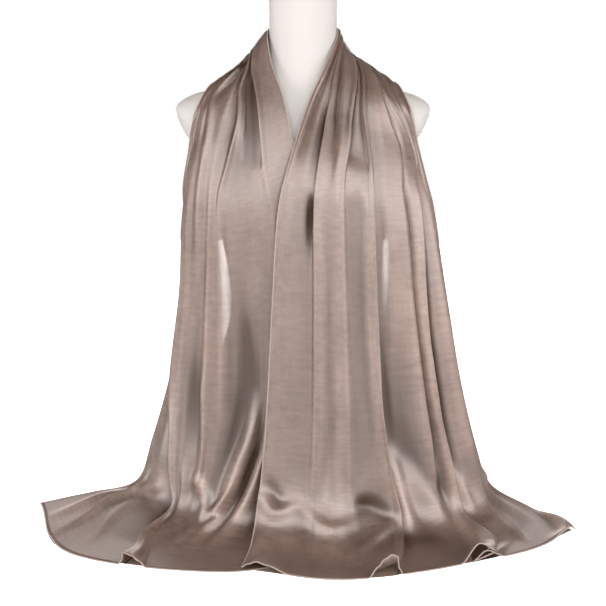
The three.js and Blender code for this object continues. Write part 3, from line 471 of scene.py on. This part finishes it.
def fold_lines(rows):
    """Share and rise in mm of every fold line at each row, and how pointed it is. Behind the neck they run
    through the swags of the nape."""
    shares, rises, sharp = [], [], []
    for line, (left, right) in enumerate(zip(LEFT_FOLDS, RIGHT_FOLDS)):
        points = [(LEFT_CREST - place, share, rise) for place, share, rise in left[2][::-1]]
        behind, swag = NAPE_FOLDS[line]
        points += [(LEFT_CREST + BEHIND_CREST, (left[2][0][1] + behind) / 2, left[2][0][2])]
        points += [(NAPE, behind, swag)]
        points += [(RIGHT_CREST - BEHIND_CREST, (right[2][0][1] + behind) / 2, right[2][0][2])]
        points += [(RIGHT_CREST + place, share, rise) for place, share, rise in right[2]]
        shares.append(through([(row, share) for row, share, rise in points], rows))
        rises.append(through([(row, rise) for row, share, rise in points], rows))
        sharp.append(np.interp(rows, (LEFT_CREST, RIGHT_CREST), (left[1], right[1])))
    return np.stack(shares, axis=1) / 100, np.stack(rises, axis=1) * MM, np.stack(sharp, axis=1)


def guide_surface(rows, share):
    """Points of the smooth guide: each row's section is a Catmull-Rom curve through its four named points,
    and share is the part of that curve's length, 0 at the inner edge and 1 at the outer one."""
    rails = np.stack([SECTIONS[name] for name in ("inner", "front", "side", "outer")], axis=1) * MM
    knots = smooth(rails.reshape(LAST_ROW + 1, 12), rows).reshape(-1, 4, 3)
    steps = np.linspace(0, 3, SECTION_STEPS + 1)
    points = np.empty(share.shape + (3,))
    for i, section in enumerate(knots):
        curve = smooth(section, steps)
        length = np.concatenate([[0], np.cumsum(np.linalg.norm(np.diff(curve, axis=0), axis=1))])
        for axis in range(3):
            points[i, :, axis] = np.interp(share[i] * length[-1], length, curve[:, axis])
    return points


def grid_normals(points):
    """Unit normals of a grid of points: the cross product of the steps along its rows and its columns."""
    across = np.gradient(points, axis=1)
    along = np.gradient(points, axis=0)
    normals = np.cross(along, across)
    return normals / np.maximum(np.linalg.norm(normals, axis=2, keepdims=True), 1e-9)


def off_the_form(points, clearance):
    """Points inside the dress form, or too near, are moved straight out along the slope of its outline, in
    four rounds. Above its neck nothing is moved."""
    probe = 1e-5
    neck_rim = 0.74

    def outline(place):
        """How far out a place lies: 1 on the form's outline at its height, and less inside."""
        z = place[..., 2] / MM
        size = [np.interp(z, FORM["z"], FORM[key]) for key in ("half_width", "front", "back", "squareness")]
        depth = np.where(place[..., 1] < 0, size[1], size[2]) * MM + clearance
        side = np.abs(place[..., 0]) / (size[0] * MM + clearance)
        return (side ** size[3] + (np.abs(place[..., 1]) / depth) ** size[3]) ** (1 / size[3])

    for _ in range(4):
        here = outline(points)
        slope = np.stack([(outline(points + step) - here) / probe for step in probe * np.eye(3)], axis=-1)
        push = np.clip(1 - here, 0, None) / np.maximum((slope**2).sum(axis=-1), 1e-9)
        points = points + slope * np.where(points[..., 2] < neck_rim, push, 0)[..., None]
    return points


def along_line(cloth, on_guide, half, width, path, steepness=2):
    """Which grid rows lie near a path (place, share, strength) on one half, and the strength there: it fades
    as a bell curve of the distance to the path, counted in widths in mm and raised to a power."""
    reach = 1.5  # sections beyond the path's ends
    place, share, strength = smooth(path, np.linspace(0, len(path) - 1, CREASE_STEPS)).T
    row = np.clip((LEFT_CREST - place) if half < 0 else (RIGHT_CREST + place), 0, LAST_ROW)
    middle = on_guide(row, share / 100)
    rows = np.arange(cloth.shape[0]) / ROWS_PER_SECTION
    close = (rows > row.min() - reach) & (rows < row.max() + reach)
    away = np.linalg.norm(cloth[close][:, :, None] - middle, axis=3) / (width * MM)
    bell = strength * np.exp(-(away**steepness))
    return close, np.take_along_axis(bell, np.abs(bell).argmax(axis=2)[..., None], axis=2)[..., 0]


def painted_fold_shading(rise, sharp):
    """Painted shade and highlight that the folds leave at each grid point, from 0, the darkest painted shade
    in a deep crease, to 1, the lightest painted highlight on a ridge: from its rise in mm, from how far it
    stands over the mean of the columns round it, and from how sharp its line is, as a painted highlight
    along sharp lines where the cloth hangs."""
    total = np.cumsum(np.pad(rise, ((0, 0), (TONE_SPREAD + 1, TONE_SPREAD)), mode="edge"), axis=1)
    mean = (total[:, 2 * TONE_SPREAD + 1 :] - total[:, : -2 * TONE_SPREAD - 1]) / (2 * TONE_SPREAD + 1)
    proud = np.clip((rise - mean) / PROUD_IN_FULL, *PROUD_LIMITS)
    tone = FLAT_TONE + np.clip(rise / HEIGHT_FOR_ONE, *HEIGHT_LIMITS)
    tone += PROUD_TONE * proud * np.sqrt(np.abs(proud))
    places = np.abs(np.linspace(-NAPE, LAST_ROW - NAPE, len(rise))) + NAPE - RIGHT_CREST
    hanging = np.clip(EDGE_HIGHLIGHT_END - places, 0, 1)[:, None]
    # a painted highlight along each sharp fold line, faded out towards the hem
    for line in range(1, LAST_LINE):
        column = line * STEPS_PER_FOLD
        tone[:, column - 1 : column + 2] += hanging * sharp[:, line, None] * SHARP_EDGE_HIGHLIGHT
    return np.clip(tone, 0, 1)


def scarf_surface():
    """The panel's middle surface: the guide, raised along its normal by ridges, sunk by hollows and bent by
    the creases. With it come its painted shading, the painted shade and highlight of the folds and the
    painted shadows and highlights cast on it, and how sheer it is where it hangs in a single layer."""
    rows = np.linspace(0, LAST_ROW, LAST_ROW * ROWS_PER_SECTION + 1)
    lines = np.linspace(0, LAST_LINE, LAST_LINE * STEPS_PER_FOLD + 1)
    share_knots, rise_knots, sharp = fold_lines(rows)
    near = np.minimum(np.floor(lines).astype(int), LAST_LINE - 1)
    w = lines - near
    share = share_knots[:, near] * (1 - w) + share_knots[:, near + 1] * w
    climb = cubic(w, 0, sharp[:, near], 1, sharp[:, near + 1])
    rise = rise_knots[:, near] * (1 - climb) + rise_knots[:, near + 1] * climb
    even = np.linspace(0, 1, GUIDE_STEPS + 1) * np.ones((len(rows), 1))
    guide = guide_surface(rows, even)
    up = grid_normals(guide)
    across = np.gradient(guide, axis=1)
    across /= np.linalg.norm(across, axis=2, keepdims=True)
    out = np.cross(across, up) * np.where(rows < NAPE, 1, -1)[:, None, None]

    def sample(field, row, place):
        """A field of the guide at rows, in sections, and at shares from 0 to 1, between its four points."""
        i = np.minimum((row * ROWS_PER_SECTION).astype(int), len(rows) - 2)
        j = np.minimum((np.clip(place, 0, 1) * GUIDE_STEPS).astype(int), GUIDE_STEPS - 1)
        a = (row * ROWS_PER_SECTION - i)[..., None]
        b = (np.clip(place, 0, 1) * GUIDE_STEPS - j)[..., None]
        first = field[i, j] * (1 - b) + field[i, j + 1] * b
        return first * (1 - a) + (field[i + 1, j] * (1 - b) + field[i + 1, j + 1] * b) * a

    def on_guide(row, place):
        """The point of the guide at rows and shares."""
        return sample(guide, row, place)

    row = rows[:, None] * np.ones(share.shape)
    base = on_guide(row, share)
    shift = np.zeros(base.shape)
    for _, half, width, lean, run, path in CREASES:
        close, bell = along_line(base, on_guide, half, width, path)
        shift[close] += bell[..., None] * np.array((1, lean, run)) * MM
    sheer = np.zeros(share.shape)
    for half, width, path in SINGLE_LAYERS:
        close, bell = along_line(base, on_guide, half, width, path, 4)
        sheer[close] = np.maximum(sheer[close], bell)
    rise = rise + shift[..., 0]
    # painted shade in the hollows and painted highlight on the ridges, from the folds' rises
    tone = painted_fold_shading(rise / MM, sharp)
    # painted shadows and painted highlights, laid over the painted fold shading
    for half, width, path in PAINTED_SHADOWS_AND_HIGHLIGHTS:
        close, bell = along_line(base, on_guide, half, width, path)
        tone[close] += bell
    points = base + sample(up, row, share) * rise[..., None]
    points += sample(across, row, share) * shift[..., 1:2] + sample(out, row, share) * shift[..., 2:3]
    points = off_the_form(points, SATIN_THICKNESS / 2 + FORM_CLEARANCE)
    floor = np.maximum(base[..., 2], 0) / 2 + TABLE_GAP + SATIN_THICKNESS / 2
    points[..., 2] = np.maximum(points[..., 2], floor)
    return points, np.clip(tone, DARKEST_PAINTED_SHADE, 1), sheer


def shell(points, thickness):
    """Vertices and faces of a closed wall: the grid moved out and in by half its thickness, and its rims."""
    rows, columns = points.shape[:2]
    offset = grid_normals(points) * thickness / 2
    vertices = np.concatenate([(points + offset).reshape(-1, 3), (points - offset).reshape(-1, 3)])
    count = rows * columns
    outer = grid_faces(rows, columns).reshape(-1, 4)
    inner = outer[:, ::-1] + count
    index = np.arange(count).reshape(rows, columns)
    ring = np.concatenate([index[0, :-1], index[:-1, -1], index[-1, :0:-1], index[:0:-1, 0]])
    after = np.roll(ring, -1)
    rim = np.stack([ring, after, after + count, ring + count], axis=1)
    return vertices, np.concatenate([outer, inner, rim]), ring


def edge_tube(path, radius, sides=8):
    """Vertices and faces of a tube round a closed path of points: a ring square to the path at each."""
    slanted = (0.31, 0.17, 0.93)  # a direction that the path never takes
    ahead = np.roll(path, -1, axis=0) - np.roll(path, 1, axis=0)
    ahead /= np.linalg.norm(ahead, axis=1, keepdims=True)
    across = np.cross(ahead, slanted)
    across /= np.linalg.norm(across, axis=1, keepdims=True)
    upward = np.cross(across, ahead)
    turn = np.linspace(0, 2 * np.pi, sides, endpoint=False)
    rings = path[:, None] + radius * (
        np.cos(turn)[None, :, None] * across[:, None] + np.sin(turn)[None, :, None] * upward[:, None]
    )
    i = np.arange(len(path))[:, None]
    j = np.arange(sides)[None, :]
    n, k = (i + 1) % len(path), (j + 1) % sides
    faces = np.stack([i * sides + j, i * sides + k, n * sides + k, n * sides + j], axis=-1)
    return rings.reshape(-1, 3), faces.reshape(-1, 4)


def flat_cut_uv(piece, rows, columns):
    """A UV map that is the panel's flat cut: u across its width and v along its length."""
    uv = np.stack(np.meshgrid(np.linspace(0, 1, columns), np.linspace(0, 1, rows)), axis=-1).reshape(-1, 2)
    uv = np.concatenate([uv, uv])
    mesh = piece.data
    corner = np.empty(len(mesh.loops), int)
    mesh.loops.foreach_get("vertex_index", corner)
    layer = mesh.uv_layers.new(name="cut")
    layer.data.foreach_set("uv", uv[corner].ravel())


def make_scarf(satin, hem_satin):
    """The panel, with a UV map that is its flat cut, and its rolled hem."""
    points, tone, sheer = scarf_surface()
    vertices, faces, ring = shell(points, SATIN_THICKNESS)
    panel = make_mesh("scarf_panel", vertices, faces, satin)
    flat_cut_uv(panel, *points.shape[:2])
    # The painted fold shading goes on the panel as a point attribute, darker on the wrong side as more
    # painted shade, and the sheerness with it.
    for name, values in (("painted_fold_shading", tone), ("sheer", sheer)):
        layer = panel.data.attributes.new(name, "FLOAT", "POINT")
        wrong_side = values * WRONG_SIDE_PAINTED_SHADE if name == "painted_fold_shading" else values
        both_sides = np.concatenate([values.ravel(), wrong_side.ravel()])
        layer.data.foreach_set("value", both_sides.astype(np.float32))
    tube, tube_faces = edge_tube(points.reshape(-1, 3)[ring], HEM_RADIUS)
    tube[:, 2] = np.maximum(tube[:, 2], HEM_GAP)
    hem = make_mesh("rolled_hem", tube, tube_faces, hem_satin)
    for piece in (panel, hem):
        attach(piece, "root")
    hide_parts("scarf_left_front", "scarf_nape", "scarf_right_front")
    return points


# ---- Dress form ----


def make_form(plastic):
    """The smooth torso: superellipse rings through the form's sections, a flat base and a flat neck top."""
    t = np.linspace(0, len(FORM["z"]) - 1, FORM_RINGS)
    z, half_width, front, back, squareness = (smooth(FORM[key].astype(float), t)[:, None] for key in FORM)
    angle = np.linspace(0, 2 * np.pi, FORM_SEGMENTS, endpoint=False)[None, :]
    depth = np.where(np.sin(angle) < 0, front, back)
    x = half_width * np.sign(np.cos(angle)) * np.abs(np.cos(angle)) ** (2 / squareness)
    y = depth * np.sign(np.sin(angle)) * np.abs(np.sin(angle)) ** (2 / squareness)
    rings = np.stack([x, y, np.broadcast_to(z, x.shape)], axis=-1) * MM
    base = rings[0] * NEARLY_SHUT
    top = rings[-1] * (NEARLY_SHUT, NEARLY_SHUT, 1)
    rings = np.concatenate([[base], rings, [top]])
    faces = grid_faces(len(rings), FORM_SEGMENTS, wrap=True)[:, :, ::-1]
    form = make_mesh("form_body", rings.reshape(-1, 3), faces, plastic)
    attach(form, "root")
    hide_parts("dress_form")


# ---- Materials ----

TAUPE_LIGHT = (0.250, 0.165, 0.131, 1)
TAUPE_DARK = (0.128, 0.077, 0.057, 1)
CREASE_PAINTED_SHADE = (0.30, 0.21, 0.15, 1)  # painted shade: what the colour is multiplied by in the deepest crease, red, green and blue
# painted highlight: the same on the highest ridge
RIDGE_PAINTED_HIGHLIGHT = (1.7, 1.79, 1.85, 1)
SHINE_LIGHT = (0.44, 0.32, 0.265, 1)
SHINE_DARK = (0.38, 0.27, 0.22, 1)
SEE_THROUGH = 0.31  # how much of the satin's light comes through it
SHEER_MOST = 0.44  # how clear a single layer is at its sheerest
# a plain dark diffuse for the deepest creases: painted shade
DEEP_PAINTED_SHADE = (0.05, 0.027, 0.016, 1)
SHADE_STARTS = 0.24  # the painted fold shading below which the deep painted shade sets in
SHADE_MOST = 0.9
WEFT_SLUBS = (45, 230, 1)  # patches a metre, across and along the panel
WARP_FLOATS = (500, 22, 1)
PICKS = 300.0  # a metre
DYE_RANGE = (0.4, 0.6)  # the mixed patterns at the darkest and at the lightest dye
# The hem's colours, lighter than the satin's: a painted highlight along the rolled edge.
HEM_LIGHT = (0.37, 0.29, 0.245, 1)
HEM_DARK = (0.31, 0.235, 0.195, 1)
PLASTIC_DARK = (0.52, 0.483, 0.462, 1)
PLASTIC_LIGHT = (0.55, 0.517, 0.495, 1)


class Nodes:
    """The node tree of a new material, with short ways to add and to join nodes."""

    def __init__(self, name):
        self.material = bpy.data.materials.new(name)
        self.material.use_nodes = True
        self.tree = self.material.node_tree
        self.shader = self.tree.nodes["Principled BSDF"]
        self.output = self.tree.nodes["Material Output"]

    def add(self, kind, settings=None, **inputs):
        """A node with its settings and inputs: a socket joins, and any other value is set."""
        node = self.tree.nodes.new("ShaderNode" + kind)
        for key, value in (settings or {}).items():
            setattr(node, key, value)
        self.fill(node, **inputs)
        return node

    def fill(self, node, **inputs):
        """Sets or joins inputs by name, with _ for each space, or i0, i1 and so on by number."""
        for key, value in inputs.items():
            socket = node.inputs[int(key[1:])] if key[1:].isdigit() else node.inputs[key.replace("_", " ")]
            if isinstance(value, bpy.types.NodeSocket):
                self.tree.links.new(value, socket)
            else:
                socket.default_value = value

    def math(self, operation, *values):
        """The result of a sum on sockets or numbers."""
        inputs = {f"i{i}": value for i, value in enumerate(values)}
        return self.add("Math", {"operation": operation}, **inputs).outputs[0]

    def spread(self, value, low, high):
        """A value from 0 to 1 taken to the range from low to high."""
        return self.add("MapRange", Value=value, To_Min=low, To_Max=high).outputs[0]

    def noise(self, vector, scale, detail=2.0, roughness=0.5):
        """Soft random patches between 0 and 1."""
        node = self.add("TexNoise", Vector=vector, Scale=scale, Detail=detail, Roughness=roughness)
        return node.outputs["Fac"]

    def mix(self, factor, first, second):
        """The colour between two others."""
        node = self.add("Mix", {"data_type": "RGBA"})
        self.fill(node, i0=factor, i6=first, i7=second)
        return node.outputs[2]

    def tinted(self, colour, tint):
        """A colour times another."""
        return self.add("VectorMath", {"operation": "MULTIPLY"}, i0=colour, i1=tint).outputs[0]


def satin_material():
    """Polyester satin, drawn on the flat cut: long floats along the panel make a gloss that spreads across
    it, with faint slubs in the weft, uneven dye and a fine weave. Some light comes through. A painted
    shading from the folds darkens the colour in the creases and lightens it on the ridges, as painted shade
    and painted highlight, and at its deepest a plain dark painted shade takes over."""
    n = Nodes("taupe_satin")
    cut = n.add("UVMap", {"uv_map": "cut"}).outputs["UV"]
    metres = n.add("Mapping", Vector=cut, Scale=(CUT_WIDTH, CUT_LENGTH, 1)).outputs["Vector"]
    weft = n.add("Mapping", Vector=metres, Scale=WEFT_SLUBS).outputs["Vector"]
    slubs = n.noise(weft, 1.0, 3.0, 0.6)
    warp = n.add("Mapping", Vector=metres, Scale=WARP_FLOATS).outputs["Vector"]
    floats = n.noise(warp, 1.0, 2.0, 0.5)
    clouds = n.noise(metres, 14.0, 6.0, 0.62)
    tone = n.math("ADD", n.math("MULTIPLY", slubs, 0.45), n.math("MULTIPLY", clouds, 0.4))
    tone = n.math("ADD", tone, n.math("MULTIPLY", floats, 0.15))
    tone = n.add("MapRange", Value=tone, From_Min=DYE_RANGE[0], From_Max=DYE_RANGE[1]).outputs[0]
    folds = n.add("Attribute", {"attribute_name": "painted_fold_shading"}).outputs["Fac"]
    # painted shade in the creases and painted highlight on the ridges, as a tint over the dye
    depth = n.mix(folds, CREASE_PAINTED_SHADE, RIDGE_PAINTED_HIGHLIGHT)
    colour = n.tinted(n.mix(tone, TAUPE_DARK, TAUPE_LIGHT), depth)
    wave = {"wave_type": "BANDS", "bands_direction": "Y"}
    picks = n.add("TexWave", wave, Vector=metres, Scale=PICKS, Distortion=0.6, Detail=1.0).outputs["Fac"]
    height = n.math("ADD", n.math("MULTIPLY", slubs, 0.6), n.math("MULTIPLY", floats, 0.3))
    height = n.math("ADD", height, n.math("MULTIPLY", picks, 0.1))
    bump = n.add("Bump", Height=height, Strength=0.5, Distance=0.00025).outputs["Normal"]
    tangent = n.add("Tangent", {"direction_type": "UV_MAP", "uv_map": "cut"}).outputs["Tangent"]
    n.fill(
        n.shader,
        Base_Color=colour,
        Roughness=n.spread(tone, 0.43, 0.53),
        Anisotropic=0.6,
        Tangent=tangent,
        Normal=bump,
    )
    n.fill(n.shader, Specular_IOR_Level=1.0, IOR=2.0, Specular_Tint=(1, 0.9, 0.86, 1))
    n.fill(n.shader, Sheen_Weight=0.12, Sheen_Roughness=0.35)
    # the light through the satin takes the same painted shade and highlight
    shine = n.tinted(n.mix(tone, SHINE_DARK, SHINE_LIGHT), depth)
    through = n.add("BsdfTranslucent", Color=shine, Normal=bump)
    both = n.add("MixShader", Fac=SEE_THROUGH)
    n.fill(both, i1=n.shader.outputs[0], i2=through.outputs[0])
    sheer = n.add("Attribute", {"attribute_name": "sheer"}).outputs["Fac"]
    clear = n.add("MixShader", Fac=n.math("MULTIPLY", sheer, SHEER_MOST))
    n.fill(clear, i1=both.outputs[0], i2=n.add("BsdfTransparent").outputs[0])
    # where the painted fold shading is darkest, a plain dark diffuse painted shade takes over
    shade = n.add("MapRange", Value=folds, From_Min=SHADE_STARTS, From_Max=DARKEST_PAINTED_SHADE, To_Max=SHADE_MOST)
    shaded = n.add("MixShader", Fac=shade.outputs[0])
    n.fill(shaded, i1=clear.outputs[0], i2=n.add("BsdfDiffuse", Color=DEEP_PAINTED_SHADE).outputs[0])
    n.fill(n.output, Surface=shaded.outputs[0])
    return n.material


def hem_material():
    """The rolled hem: the same satin turned round a fine thread, lighter in colour as a painted highlight
    along the edge, with tiny stitches along it.
    """
    n = Nodes("rolled_satin")
    place = n.add("TexCoord").outputs["Object"]
    stitches = n.noise(place, 420.0, 2.0, 0.6)
    bump = n.add("Bump", Height=stitches, Strength=0.4, Distance=0.0004).outputs["Normal"]
    n.fill(n.shader, Base_Color=n.mix(stitches, HEM_DARK, HEM_LIGHT), Normal=bump)
    n.fill(n.shader, Roughness=0.45, Specular_IOR_Level=0.7, Sheen_Weight=0.2, Sheen_Roughness=0.4)
    return n.material


def plastic_material():
    """Ivory polypropylene: smooth, softly glossy, with a faint unevenness of colour and of gloss."""
    n = Nodes("ivory_plastic")
    place = n.add("TexCoord").outputs["Object"]
    clouds = n.noise(place, 14.0, 3.0, 0.55)
    grain = n.noise(place, 900.0, 2.0, 0.6)
    bump = n.add("Bump", Height=grain, Strength=0.12, Distance=0.0002).outputs["Normal"]
    n.fill(
        n.shader,
        Base_Color=n.mix(clouds, PLASTIC_DARK, PLASTIC_LIGHT),
        Roughness=n.spread(clouds, 0.54, 0.62),
        Normal=bump,
    )
    n.fill(n.shader, Specular_IOR_Level=0.3)
    n.fill(n.shader, Subsurface_Weight=0.5, Subsurface_Radius=(1, 0.9, 0.85), Subsurface_Scale=0.02)
    return n.material


# ---- Studio ----

SURROUND = 0.09  # how bright the surround is as a light
FLOOR_LIFT = 0.95  # the glow that only the camera sees
FLOOR_WHITE = (0.9, 0.9, 0.9, 1)
# the strips under the cloth: a brown painted shade on the white floor, with a faint painted glow
PAINTED_SHADE_FLOOR = (0.2, 0.145, 0.12, 1)
PAINTED_UNDER_CLOTH_GLOW = (0.03, 0.019, 0.013, 1)
STRIP_START = 0.03  # how far inside the hem the painted shade strip starts, as a share of its depth
STRIP_LIFT = 0.05 * MM
FLOOR_REACH = 9  # metres to each side
CAMERA_PLACE = (0, -1.673, 0.663)
CAMERA_PITCH = 12.5  # degrees down


def area_light(name, place, aim, size, power, tint=(1, 1, 1)):
    """A rectangular soft light at a place, turned to a point."""
    data = bpy.data.lights.new(name, "AREA")
    data.shape = "RECTANGLE"
    data.size, data.size_y = size
    data.energy = power
    data.color = tint
    light = bpy.data.objects.new(name, data)
    light.location = place
    light.rotation_euler = (Vector(aim) - Vector(place)).to_track_quat("-Z", "Y").to_euler()
    bpy.context.scene.collection.objects.link(light)


def make_world():
    """White all round where it is seen, and a dimmer grey where it lights the object."""
    world = bpy.data.worlds.new("studio")
    world.use_nodes = True
    tree = world.node_tree
    white = tree.nodes["Background"]
    white.inputs["Color"].default_value = (1, 1, 1, 1)
    seen = tree.nodes.new("ShaderNodeLightPath").outputs["Is Camera Ray"]
    strength = tree.nodes.new("ShaderNodeMapRange")
    strength.inputs["To Min"].default_value = SURROUND
    strength.inputs["To Max"].default_value = 1.0
    tree.links.new(seen, strength.inputs["Value"])
    tree.links.new(strength.outputs[0], white.inputs["Strength"])
    bpy.context.scene.world = world


def make_floor(cloth):
    """A plain white floor that stays as light as the surround, and two strips of painted shade under the
    cloth, from a little inside the hem to where the cloth leaves the floor: a brown painted shade with a
    faint painted glow."""
    n, shaded = Nodes("pale_floor"), Nodes("painted_shade_floor")
    seen = n.add("LightPath").outputs["Is Camera Ray"]
    for floor, colour in ((n, FLOOR_WHITE), (shaded, PAINTED_SHADE_FLOOR)):
        floor.fill(floor.shader, Base_Color=colour, Roughness=0.9, Specular_IOR_Level=0.0)
    n.fill(n.shader, Emission_Color=(1, 1, 1, 1), Emission_Strength=n.spread(seen, 0.0, FLOOR_LIFT))
    shaded.fill(shaded.shader, Emission_Color=PAINTED_UNDER_CLOTH_GLOW, Emission_Strength=1.0)
    corners = [(x * FLOOR_REACH, y * FLOOR_REACH, 0) for x, y in ((-1, -1), (1, -1), (1, 1), (-1, 1))]
    make_mesh("studio_floor", corners, [(0, 1, 2, 3)], n.material)
    bend = 2 * ROWS_PER_SECTION
    # two strips of painted shade, one under each half
    for name, hem, inside in (("left", 0, bend), ("right", -1, -1 - bend)):
        strip = np.stack([cloth[hem] * (1 - STRIP_START) + cloth[inside] * STRIP_START, cloth[inside]])
        strip[..., 2] = STRIP_LIFT
        faces = grid_faces(*strip.shape[:2])
        make_mesh("painted_shade_under_" + name, strip.reshape(-1, 3), faces, shaded.material)


def make_camera():
    """A long lens at chest height, a little over 1.6 m in front."""
    camera = bpy.data.objects.new("camera", bpy.data.cameras.new("camera"))
    camera.data.lens = 70
    camera.data.sensor_width = 36
    camera.location = CAMERA_PLACE
    camera.rotation_euler = (math.radians(90 - CAMERA_PITCH), 0, 0)
    bpy.context.scene.collection.objects.link(camera)
    bpy.context.scene.camera = camera


bpy.context.scene.view_settings.view_transform = "Standard"
make_camera()
make_world()
area_light("front_softbox", (0.25, -2.5, 1.3), (0, -0.1, 0.42), (2.6, 0.8), 42)
area_light("low_softbox", (0, -2.6, 0.5), (0, 0, 0.4), (2.8, 1.0), 9)
area_light("top_strip", (0, -1.5, 1.6), (0, -0.16, 0.05), (2.4, 0.25), 14)
area_light("left_softbox", (-2.2, -1.2, 0.9), (0, -0.1, 0.4), (0.9, 1.2), 34)
area_light("right_softbox", (2.3, -1.2, 1.0), (0, -0.1, 0.4), (0.9, 1.4), 34)
area_light("back_softbox", (0, 2.3, 0.45), (0, 0, 0.35), (2.4, 0.9), 62, (1, 0.95, 0.93))
cloth = make_scarf(satin_material(), hem_material())
make_form(plastic_material())
make_floor(cloth)
